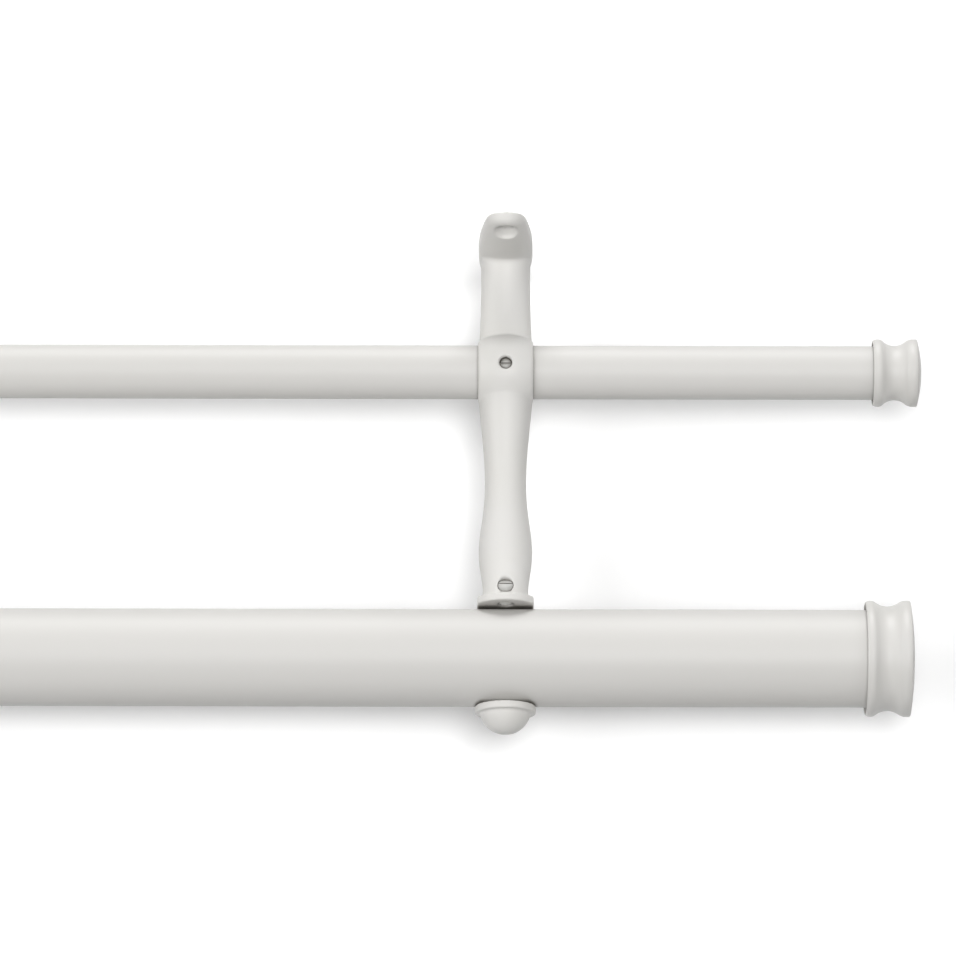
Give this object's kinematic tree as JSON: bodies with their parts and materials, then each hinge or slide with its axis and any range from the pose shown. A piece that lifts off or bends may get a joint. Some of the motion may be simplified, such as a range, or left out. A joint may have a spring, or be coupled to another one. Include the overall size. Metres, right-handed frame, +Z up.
{
  "type": "double curtain pole",
  "caption": "Telescopic double curtain pole: a stout front pole and a slim back pole on cast two-pole wall brackets, with turned end caps.",
  "frame": {"origin": "middle of the right bracket's wall face, between its two screw holes", "axes": "+X along the poles to the right, +Y into the wall, +Z up; the poles lie in front of the wall at negative Y"},
  "size_m": [0.7458, 0.1499, 0.0624],
  "materials": {
    "pole_paint": "satin off-white paint on steel tube",
    "casting_paint": "satin off-white paint on cast metal, edges slightly softened",
    "cap_paint": "satin off-white paint on turned metal",
    "plug_plastic": "moulded, matt",
    "screw_paint": "satin off-white paint, slightly greyer"
  },
  "bodies": {
    "right_half": {"front_outer_tube": "pole_paint", "back_outer_tube": "pole_paint", "bracket_right": "casting_paint", "front_end_cap_right": "cap_paint", "back_end_cap_right": "cap_paint", "front_end_plug_right": "plug_plastic", "back_end_plug_right": "plug_plastic", "ring_set_screw_right": "screw_paint", "cradle_set_screw_right": "screw_paint"},
    "left_half": {"front_inner_tube": "pole_paint", "back_inner_tube": "pole_paint", "bracket_left": "casting_paint", "front_end_cap_left": "cap_paint", "back_end_cap_left": "cap_paint", "front_end_plug_left": "plug_plastic", "back_end_plug_left": "plug_plastic", "ring_set_screw_left": "screw_paint", "cradle_set_screw_left": "screw_paint"}
  },
  "joints": [
    {"name": "length_slide", "type": "slide", "parent": "right_half", "child": "left_half", "axis": [-1, 0, 0], "range_m": [0, 0.46]}
  ]
}
